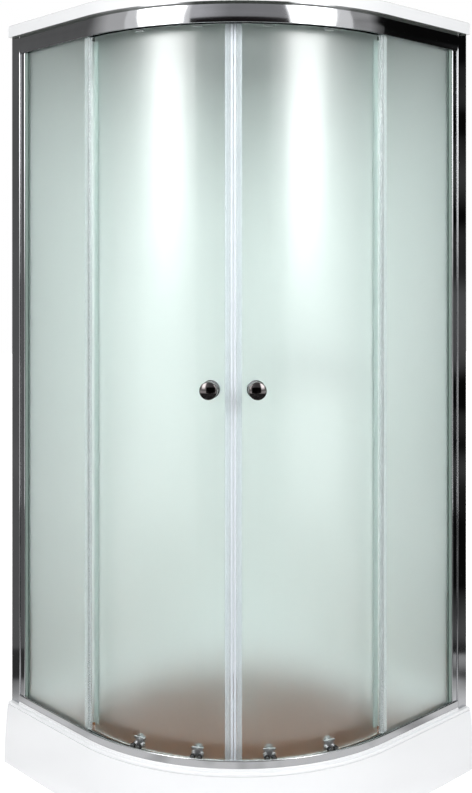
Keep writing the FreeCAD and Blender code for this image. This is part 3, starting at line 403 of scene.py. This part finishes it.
def brown_floor(name):
    """Streaks for the colour, and a grit for gloss and relief."""
    finish, tree, place = start_finish(name)
    eighth = {"Vector": place, "Axis": (0.0, 0.0, 1.0), "Angle": radians(-45)}
    turned = add(tree, "VectorRotate", eighth).outputs[0]
    squeeze = (1 / STREAK_STRETCH, 1.0, 1.0)
    squeezed = add(tree, "VectorMath", {0: turned, 1: squeeze}, operation="MULTIPLY").outputs[0]
    streak = add(tree, "TexNoise", {"Vector": squeezed, "Scale": 1 / (STREAK_MM * MM), "Detail": 4.0})
    ends = {"From Min": 0.3, "From Max": 0.7}
    streak = add(tree, "MapRange", {"Value": streak.outputs["Fac"], **ends}).outputs[0]
    ends = {FIRST: linear("5e3416"), SECOND: linear("7e4c24")}
    brown = add(tree, "Mix", {"Factor": streak, **ends}, data_type="RGBA").outputs[MIXED]
    grit = add(tree, "TexNoise", {"Vector": place, "Scale": 1 / (GRIT_MM * MM), "Detail": 2.0})
    grit = grit.outputs["Fac"]
    roughness = add(tree, "MapRange", {"Value": grit, "To Min": 0.5, "To Max": 0.65}).outputs[0]
    lifted = add(tree, "Bump", {"Height": grit, "Strength": 0.3, "Distance": 0.4 * MM}).outputs["Normal"]
    end_finish(tree, add(tree, "BsdfPrincipled", {
        "Base Color": brown, "Roughness": roughness, "Normal": lifted}))
    return finish


# Streaks give the brown some life past an open door, and the grit keeps it free of glare.
dress(brown_floor("brown streaked non-slip panel"), "floor_panel")

# %% [markdown]
# ## Clear strips
# Soft vinyl strips are pushed over the glass edges: one on each fixed pane's free edge, with a hollow bulb
# that the door slides past, and one on each door where they meet, with a magnet in its nose. They are
# extrusions, so a profile carried straight up says all there is to say about them. Each profile is drawn as
# corners and its corners are then softened.

# %% Clear strips, the profile tools
CORNER_POINTS, LONGEST_CUT = 6, 0.45
SHARP_ANGLE = radians(35)


def softened(corners, radius):
    """A closed outline whose corners become short curves: between the points a radius away from a corner
    along its two sides, the quadratic curve with the corner as its middle control point. On a short side
    the point stays before the middle."""
    corners = np.asarray(corners, float)
    cuts = []
    for neighbour in (np.roll(corners, 1, axis=0), np.roll(corners, -1, axis=0)):
        arm = neighbour - corners
        length = np.linalg.norm(arm, axis=1, keepdims=True)
        cuts.append(corners + arm / length * np.minimum(radius, LONGEST_CUT * length))
    start, finish = cuts
    t = np.linspace(0, 1, CORNER_POINTS)[None, :, None]
    curves = (1 - t) ** 2 * start[:, None] + 2 * t * (1 - t) * corners[:, None] + t ** 2 * finish[:, None]
    return curves.reshape(-1, 2)


def extruded(name, runs, finish):
    """Closed plan outlines carried straight up. Each run is an outline, its low and high end, and whether
    it is a hollow. The sign of the outline's area tells which way it goes round, so that faces point
    outwards, or into a hollow."""
    places, faces, count = [], [], 0
    for outline, low, high, hollow in runs:
        x, y = outline.T
        anticlockwise = np.sum(x * np.roll(y, -1) - y * np.roll(x, -1)) > 0
        outline = outline if anticlockwise != hollow else outline[::-1]
        n = len(outline)
        places += [np.column_stack([outline, np.full(n, z)]) for z in (low, high)]
        ring, after = count + np.arange(n), count + (np.arange(n) + 1) % n
        faces += np.column_stack([ring, after, after + n, ring + n]).tolist()
        faces += [ring[::-1].tolist(), (ring + n).tolist()]
        count += 2 * n
    places = np.concatenate(places)
    mesh = bpy.data.meshes.new(name)
    mesh.from_pydata(places.tolist(), [], faces)
    mesh.polygons.foreach_set("use_smooth", np.ones(len(faces), bool))
    mesh.set_sharp_from_angle(angle=SHARP_ANGLE)
    mesh.materials.append(finish)
    piece = bpy.data.objects.new(name, mesh)
    bpy.context.scene.collection.objects.link(piece)
    print(name, "with", len(places), "points, mm:", np.round(np.ptp(places, axis=0) / MM, 1))
    return piece


def twin(outline):
    """The same outline on the other side of the cabin's diagonal, which swaps and negates the plan axes."""
    return -outline[:, ::-1]


# %% [markdown]
# The vinyl itself is clear and slightly milky. As with the glass, lamps shine through it by a switch for
# shadow rays. The magnets lie in a white sleeve of their own, which is not clear at all.

# %% Clear strips, the vinyl
HAZE_MM = 90.0


def clear_vinyl(name, swatches, gloss, clearness):
    """A soft clear plastic with a haze in wide patches."""
    finish, tree, place = start_finish(name)
    colour, roughness = varied(tree, place, HAZE_MM, detail=2.0, swatches=swatches, gloss=gloss)[:2]
    body = add(tree, "BsdfPrincipled", {
        "Base Color": colour, "Roughness": roughness, "IOR": 1.42, "Transmission Weight": clearness})
    end_clear_finish(tree, body, "eef4f3")
    return finish


# Extruded clear: it shows the dark edge of the glass inside it, with a pale line beside.
vinyl = clear_vinyl("clear extruded vinyl", ("eef2f3", "f4f7f8"), (0.14, 0.18), 0.86)
# A little milkier: it takes the tone of what stands behind, and its edges stay pale.
milky_vinyl = clear_vinyl("milky extruded vinyl", ("eef1f5", "f4f6f9"), (0.16, 0.2), 0.84)
# As matt as the etched glass, so that little of it shows behind a pane
wiper_vinyl = clear_vinyl("matt wiper vinyl", ("f1f6f5", "f6f9f8"), (0.31, 0.36), 0.82)
# Moulded white: a pale bar in the clear strip where the doors meet
magnet = moulded("white sleeve round a magnet bar", ("d2d5da", "dbdee2"), (0.3, 0.4))
dress(wiper_vinyl, *with_sides("trail_strip"))

# %% [markdown]
# The strip on a fixed pane is worked out from the pane's own edge and faces. Its hollow bulb is a second
# outline, which stops a little short at both ends, so that the bulb is closed there.

# %% Clear strips, on the fixed panes
END_WEB = 2.0 * MM


def edge_profile():
    """The outlines of strip and hollow on the left pane. The strip grips the pane, reaches past it as a
    bulb, and has a fin at the back that points towards the door."""
    fit, wall, grip, nose, fin, bulb_round = np.array([0.1, 1.6, 12.0, 9.0, 3.0, 1.5]) * MM
    edge, face, back = pane_box[1][0], pane_box[0][1], pane_box[1][1]
    heel, tip, stop = edge - grip, edge + nose, edge + fit
    outer, inner = face - fit - wall, back + fit + wall
    strip = [(heel, outer), (tip, outer), (tip, inner), (tip - fin, inner + fin), (tip - 2 * fin, inner),
             (heel, inner), (heel, back + fit), (stop, back + fit), (stop, face - fit), (heel, face - fit)]
    bulb_start, bulb_end = stop + wall, tip - wall - fit
    bulb = [(bulb_start, face), (bulb_start, back), (bulb_end, back), (bulb_end, face)]
    return softened(strip, wall), softened(bulb, bulb_round)


strip_low, strip_high = [corner[2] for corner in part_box("edge_strips")]
runs = [(turned(outline), strip_low + web, strip_high - web, web > 0)
        for outline, web in zip(edge_profile(), (0.0, END_WEB)) for turned in (np.asarray, twin)]
edge_strips = extruded("edge_strips_vinyl", runs, vinyl)
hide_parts("edge_strips")
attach(edge_strips, "cabin")

# %% [markdown]
# The door strips bend with the door, so their corners are given as a distance from the line where the doors
# meet and a distance from the arc's centre, and one function wraps them round that centre.

# %% Clear strips, where the doors meet
FORE = TO_FRONT[:2] / np.sqrt(2)
ASIDE = np.array([-1.0, -1.0]) / np.sqrt(2)


def wrapped(corners_mm):
    """(distance along the arc from the meeting line, distance from the arc's centre) to plan places on the
    left door: the first divided by the second is the angle."""
    along, radius = np.asarray(corners_mm, float).T * MM
    turn = along / radius
    return ARC_CENTRE[:2] + radius[:, None] * (np.cos(turn)[:, None] * FORE + np.sin(turn)[:, None] * ASIDE)


def door_profile():
    """The outlines of sleeve and core on the left door, in millimetres until they are wrapped. The sleeve
    grips the glass and has two shallow grooves along its face, and the core lies in its nose."""
    glass_back, glass_face, glass_edge = 475.0, 480.0, 9.0
    fit, wall, slope, draft = 0.1, 1.5, 0.8, 0.1
    heel, draft_from, nose = 20.4, 7.4, 0.4
    stop, outer, inner = glass_edge - fit, glass_face + fit + wall, glass_back - fit - wall
    sleeve = [(heel, outer), (heel, glass_face + fit), (stop, glass_face + fit), (stop, glass_back - fit),
              (heel, glass_back - fit), (heel, inner), (draft_from, inner), (nose, inner + draft),
              (nose, outer - draft)]
    for start, end, depth in ((3.0, 8.4, 0.6), (10.6, 17.0, 0.7)):
        floor = outer - depth
        sleeve += [(start, outer), (start + slope, floor), (end - slope, floor), (end, outer)]
    core_near, core_far, core_proud = 1.2, 7.2, 0.2
    core_back, core_face = glass_back - core_proud, glass_face + core_proud
    core = [(core_far, core_back), (core_near, core_back), (core_near, core_face), (core_far, core_face)]
    sleeve_round, core_round = 1.2 * MM, 0.8 * MM
    return softened(wrapped(sleeve), sleeve_round), softened(wrapped(core), core_round)


door_low, door_high = [corner[2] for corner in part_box("door_glass_left")]
sleeve, core = door_profile()
parts = (("sleeve", sleeve, 0.0, milky_vinyl), ("core", core, END_WEB, magnet))
for side, turned in (("left", np.asarray), ("right", twin)):
    for part, outline, web, finish in parts:
        run = (turned(outline), door_low + web, door_high - web, False)
        piece = extruded("magnet_%s_%s" % (part, side), [run], finish)
        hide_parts("magnet_strip_" + side)
        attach(piece, "door_" + side)

# %% [markdown]
# ## Studio floor
# The cabin is shown on white. The floor is a plain matt surface that also gives off a little light of its
# own, but only to rays that look at it straight, in a mirror or through glass. So it looks white and still
# takes the cabin's soft shadow.

# %% Studio floor
FLOOR_HALF = 12.0
FLOOR_PATCH_MM = 400.0


def seen_directly(tree):
    """1 for a ray that looks from the camera, in a mirror or through glass, and 0 for one that gathers
    light."""
    path = add(tree, "LightPath").outputs
    looks = {0: path["Is Camera Ray"], 1: path["Is Glossy Ray"]}
    seen = add(tree, "Math", looks, operation="MAXIMUM").outputs[0]
    seen = add(tree, "Math", {0: seen, 1: path["Is Transmission Ray"]}, operation="MAXIMUM").outputs[0]
    gathers = path["Diffuse Depth"]
    return add(tree, "Math", {0: seen, 1: gathers}, operation="SUBTRACT", use_clamp=True).outputs[0]


def studio_floor(name):
    """A matt white that glows more with the distance from the cabin's middle, so that it has no horizon."""
    finish, tree, place = start_finish(name)
    patch = add(tree, "TexNoise", {"Vector": place, "Scale": 1 / (FLOOR_PATCH_MM * MM), "Detail": 2.0})
    ends = {FIRST: linear("ededed"), SECOND: linear("f3f3f3")}
    shade = add(tree, "Mix", {"Factor": patch.outputs["Fac"], **ends}, data_type="RGBA").outputs[MIXED]
    matt = add(tree, "BsdfDiffuse", {"Color": shade})
    distance = add(tree, "VectorMath", {0: place}, operation="LENGTH").outputs["Value"]
    ends = {"From Min": 0.7, "From Max": 2.2, "To Min": 0.45, "To Max": 1.0}
    glow = add(tree, "MapRange", {"Value": distance, **ends}).outputs[0]
    glow = add(tree, "Math", {0: glow, 1: seen_directly(tree)}, operation="MULTIPLY").outputs[0]
    light = add(tree, "Emission", {"Color": linear("ffffff"), "Strength": glow})
    end_finish(tree, add(tree, "AddShader", {0: matt.outputs[0], 1: light.outputs[0]}))
    return finish


def sheet_of(name, points, finish):
    """A mesh from a rows by columns array of points, joined into four-sided faces."""
    rows, columns = points.shape[:2]
    number = np.arange(rows * columns).reshape(rows, columns)
    corners = [number[:-1, :-1], number[1:, :-1], number[1:, 1:], number[:-1, 1:]]
    faces = np.stack(corners, axis=-1).reshape(-1, 4)
    mesh = bpy.data.meshes.new(name)
    mesh.from_pydata(points.reshape(-1, 3).tolist(), [], faces.tolist())
    mesh.materials.append(finish)
    sheet = bpy.data.objects.new(name, mesh)
    bpy.context.scene.collection.objects.link(sheet)
    print(name, "with", len(faces), "faces")
    return sheet


line = np.linspace(-FLOOR_HALF, FLOOR_HALF, 9)
across, along = np.meshgrid(line, line)
# Painted matt: an even white ground in which only the shadow shows
floor_paint = studio_floor("white studio floor")
sheet_of("studio_floor", np.dstack([across, along, np.zeros_like(across)]), floor_paint)

# %% [markdown]
# ## Background
# The background is white too. To rays that gather light it is dimmer, so that the lamps shape the cabin.

# %% Background
WORLD_LIGHT = 0.62
world = bpy.data.worlds.new("white studio")
bpy.context.scene.world = world
world.use_nodes = True
tree = world.node_tree
tree.nodes.clear()
ends = {"To Min": WORLD_LIGHT, "To Max": 1.0}
strength = add(tree, "MapRange", {"Value": seen_directly(tree), **ends}).outputs[0]
sky = add(tree, "Background", {"Color": linear("ffffff"), "Strength": strength})
tree.links.new(sky.outputs[0], add(tree, "OutputWorld").inputs["Surface"])
print("background light", WORLD_LIGHT)

# %% [markdown]
# ## Camera
# The cabin is seen from the front of the curve, a little above its middle, with the camera held level so
# that posts stay upright. The lens shift takes the place of a tilt.

# %% Camera
CAMERA = np.array([2.1374, -2.0188, 1.3629])
CAMERA_TURN = radians(46.84)
camera_data = bpy.data.cameras.new("camera")
camera = bpy.data.objects.new("camera", camera_data)
bpy.context.scene.collection.objects.link(camera)
camera.location = CAMERA
camera.rotation_euler = (radians(90), 0, CAMERA_TURN)
camera_data.lens = 49.21
camera_data.shift_x = 0.0031
camera_data.shift_y = -0.1686
bpy.context.scene.camera = camera
bpy.context.scene.view_settings.view_transform = "Standard"
print("camera at", CAMERA)

# %% [markdown]
# ## Softboxes
# Two tall softboxes stand left and right of the camera, above its height. They light the cabin from the
# front through the glass, and each leaves one white column on the curved doors. A softbox is dimmer where
# its cloth is far from the tube, so the light falls off to both sides and over the lower third, and the
# columns have soft edges and fade out downwards.

# %% Softboxes
UPWARD = np.array([0.0, 0.0, 1.0])
ahead = (CAMERA - ARC_CENTRE) * (1, 1, 0)
ahead /= np.linalg.norm(ahead)
rightward = np.array([-ahead[1], ahead[0], 0.0])
BOX_DISTANCE, BOX_MIDDLE = 2.6, 2.15
BOX_WIDTH, BOX_HEIGHT = 1.2, 1.9
BOX_RADIANCE = 7.3
AIM_HEIGHT = 1.05


def studio_place(sideways, forward, height):
    """A point by its distance to the right of, in front of and above the foot of the arc's centre."""
    steps = ((sideways, rightward), (forward, ahead), (height, UPWARD))
    return ARC_CENTRE + sum(np.multiply.outer(amount, direction) for amount, direction in steps)


def tube_light(tree):
    """The share of full light at a place on the cloth, which runs from 0 to 1 across and up."""
    share = add(tree, "SeparateXYZ", {0: add(tree, "NewGeometry").outputs["Parametric"]}).outputs
    off_middle = add(tree, "Math", {0: share["X"], 1: 0.5}, operation="SUBTRACT").outputs[0]
    off_middle = add(tree, "Math", {0: off_middle}, operation="ABSOLUTE").outputs[0]
    ends = {"From Min": 0.25, "From Max": 0.5, "To Min": 1.0, "To Max": 0.15}
    sides = add(tree, "MapRange", {"Value": off_middle, **ends}).outputs[0]
    ends = {"From Min": 0.0, "From Max": 0.35, "To Min": 0.1, "To Max": 1.0}
    foot = add(tree, "MapRange", {"Value": share["Y"], **ends}).outputs[0]
    return add(tree, "Math", {0: sides, 1: foot}, operation="MULTIPLY").outputs[0]


def softbox(name, degrees):
    """A rectangular lamp that faces the cabin, by its angle to the right of the camera."""
    turn = radians(degrees)
    place = studio_place(np.sin(turn) * BOX_DISTANCE, np.cos(turn) * BOX_DISTANCE, BOX_MIDDLE)
    lamp_data = bpy.data.lights.new(name, "AREA")
    lamp_data.shape = "RECTANGLE"
    lamp_data.size, lamp_data.size_y = BOX_WIDTH, BOX_HEIGHT
    lamp_data.energy = BOX_RADIANCE * np.pi * BOX_WIDTH * BOX_HEIGHT
    lamp_data.use_nodes = True
    tree = lamp_data.node_tree
    tree.nodes.clear()
    tube = add(tree, "Emission", {"Strength": tube_light(tree)})
    tree.links.new(tube.outputs[0], add(tree, "OutputLight").inputs["Surface"])
    lamp = bpy.data.objects.new(name, lamp_data)
    bpy.context.scene.collection.objects.link(lamp)
    lamp.location = place
    x, y, z = ARC_CENTRE + AIM_HEIGHT * UPWARD - place
    lamp.rotation_euler = (np.arctan2(np.hypot(x, y), -z), 0, np.arctan2(-x, y))
    lamp.visible_camera = False
    print(name, "at", np.round(place, 2), "with", round(lamp_data.energy), "W")


softbox("softbox_left", -41.0)
softbox("softbox_right", 38.5)

# %% [markdown]
# ## Flags
# Polished metal shows whatever stands round it, and in an all-white studio it would vanish. So a
# photographer hangs grey and black cloths beside it. Here they are sheets that only mirrors see: they throw
# no shade and take no light. Each fades from one tone to another along a direction, or with the distance
# from the cabin, and is a little uneven as hung cloth is.

# %% Flags
FOLD_MM = 350.0
LONG_FOLDS, ROUND_FOLDS = (0.25, 0.25, 1.0), (1.0, 1.0, 1.0)


def flag_cloth(name, swatches, measure, reference, limits, uneven, folds=LONG_FOLDS):
    """A tone that runs from the first swatch to the second as a measure goes from one limit to the other.
    The measure is the distance along the reference direction (DOT_PRODUCT), where limits count from the
    arc's centre, or from the reference point (DISTANCE). Folds are long where their number is small."""
    cloth, tree, place = start_finish(name)
    reach = add(tree, "VectorMath", {0: place, 1: tuple(reference)}, operation=measure).outputs["Value"]
    zero = float(ARC_CENTRE @ reference) if measure == "DOT_PRODUCT" else 0.0
    ends = {"From Min": limits[0] + zero, "From Max": limits[1] + zero}
    reach = add(tree, "MapRange", {"Value": reach, **ends}).outputs[0]
    drawn = add(tree, "VectorMath", {0: place, 1: folds}, operation="MULTIPLY").outputs[0]
    fold = add(tree, "TexNoise", {"Vector": drawn, "Scale": 1 / (FOLD_MM * MM), "Detail": 2.0})
    ends = {"From Min": 0.3, "From Max": 0.7, "To Min": -uneven, "To Max": uneven}
    fold = add(tree, "MapRange", {"Value": fold.outputs["Fac"], **ends}).outputs[0]
    tone = add(tree, "Math", {0: reach, 1: fold}, operation="ADD", use_clamp=True).outputs[0]
    ends = {FIRST: linear(swatches[0]), SECOND: linear(swatches[1])}
    tone = add(tree, "Mix", {"Factor": tone, **ends}, data_type="RGBA").outputs[MIXED]
    end_finish(tree, add(tree, "Emission", {"Color": tone, "Strength": 1.0}))
    return cloth


def flag(name, sideways, forward, height, cloth):
    """A sheet that only mirrors see."""
    sheet = sheet_of(name, studio_place(sideways, forward, height), cloth)
    sheet.visible_camera = sheet.visible_diffuse = False
    sheet.visible_transmission = sheet.visible_shadow = False


def upright(first, last, low, high):
    """A standing sheet between two places, each a distance sideways and forward, from low to high."""
    share, height = np.meshgrid(np.linspace(0, 1, 5), np.linspace(low, high, 5))
    return [start + (end - start) * share for start, end in zip(first, last)] + [height]


# %% [markdown]
# A grey flag stands on the left and a black one on the right, each paler towards the camera. Behind the
# camera a black cloth hangs below a grey one. Posts, rails and knobs take their dark bands from these.

# %% Flags beside the cabin and behind the camera
SIDE, SIDE_BACK, SIDE_FRONT = 1.45, -1.0, 0.9
BACKCLOTH_LEFT, BACKCLOTH_RIGHT = (-1.75, 3.6), (2.0, 3.6)
FLAG_SEAM, FLAG_TOP = 2.2, 5.2
# Dyed cloth: an even grey on the side faces that look left
flag("flag_left", *upright((-SIDE, SIDE_BACK), (-SIDE, SIDE_FRONT), 0.0, FLAG_TOP),
     flag_cloth("dark grey flag", ("666666", "d2d2d2"), "DOT_PRODUCT", ahead, (0.22, 0.58), 0.05))
# Dyed darker: a nearly black, uneven band on the side faces that look right
flag("flag_right", *upright((SIDE, SIDE_BACK), (SIDE, SIDE_FRONT), 0.0, FLAG_TOP),
     flag_cloth("black flag", ("0c0c0c", "b4b4b4"), "DOT_PRODUCT", ahead, (0.32, 0.58), 0.3))
# Black: it darkens what looks straight to the front
flag("flag_below", *upright(BACKCLOTH_LEFT, BACKCLOTH_RIGHT, 0.0, FLAG_SEAM),
     flag_cloth("black backcloth", ("121111", "221f1f"), "DOT_PRODUCT", rightward, (-1.4, 1.4), 0.3))
# Grey, paler on the left: it gives a middle tone to what looks to the front and up
flag("flag_front", *upright(BACKCLOTH_LEFT, BACKCLOTH_RIGHT, FLAG_SEAM, FLAG_TOP),
     flag_cloth("grey backcloth", ("cfcfd2", "98989a"), "DOT_PRODUCT", rightward, (-1.4, -0.3), 0.1))

# %% [markdown]
# Pieces low on the cabin mirror the floor in front of it. A wide cloth lies there, pale near the cabin and
# dark further out, just above the studio floor.

# %% The cloth on the studio floor
CLOTH_LIFT = 4.0 * MM
CLOTH_TURN, CLOTH_NEAR, CLOTH_FAR = radians(115), 0.62, 3.6
turn, reach = np.meshgrid(np.linspace(-CLOTH_TURN, CLOTH_TURN, 33), np.linspace(CLOTH_NEAR, CLOTH_FAR, 17))
# Laid loose: patches of pale and dark that run into each other in the metal
flag("flag_floor", reach * np.sin(turn), reach * np.cos(turn), np.full_like(turn, CLOTH_LIFT),
     flag_cloth("floor cloth", ("eeeeee", "3a3a3a"), "DISTANCE", ARC_CENTRE, (1.0, 1.25), 0.6, ROUND_FOLDS))
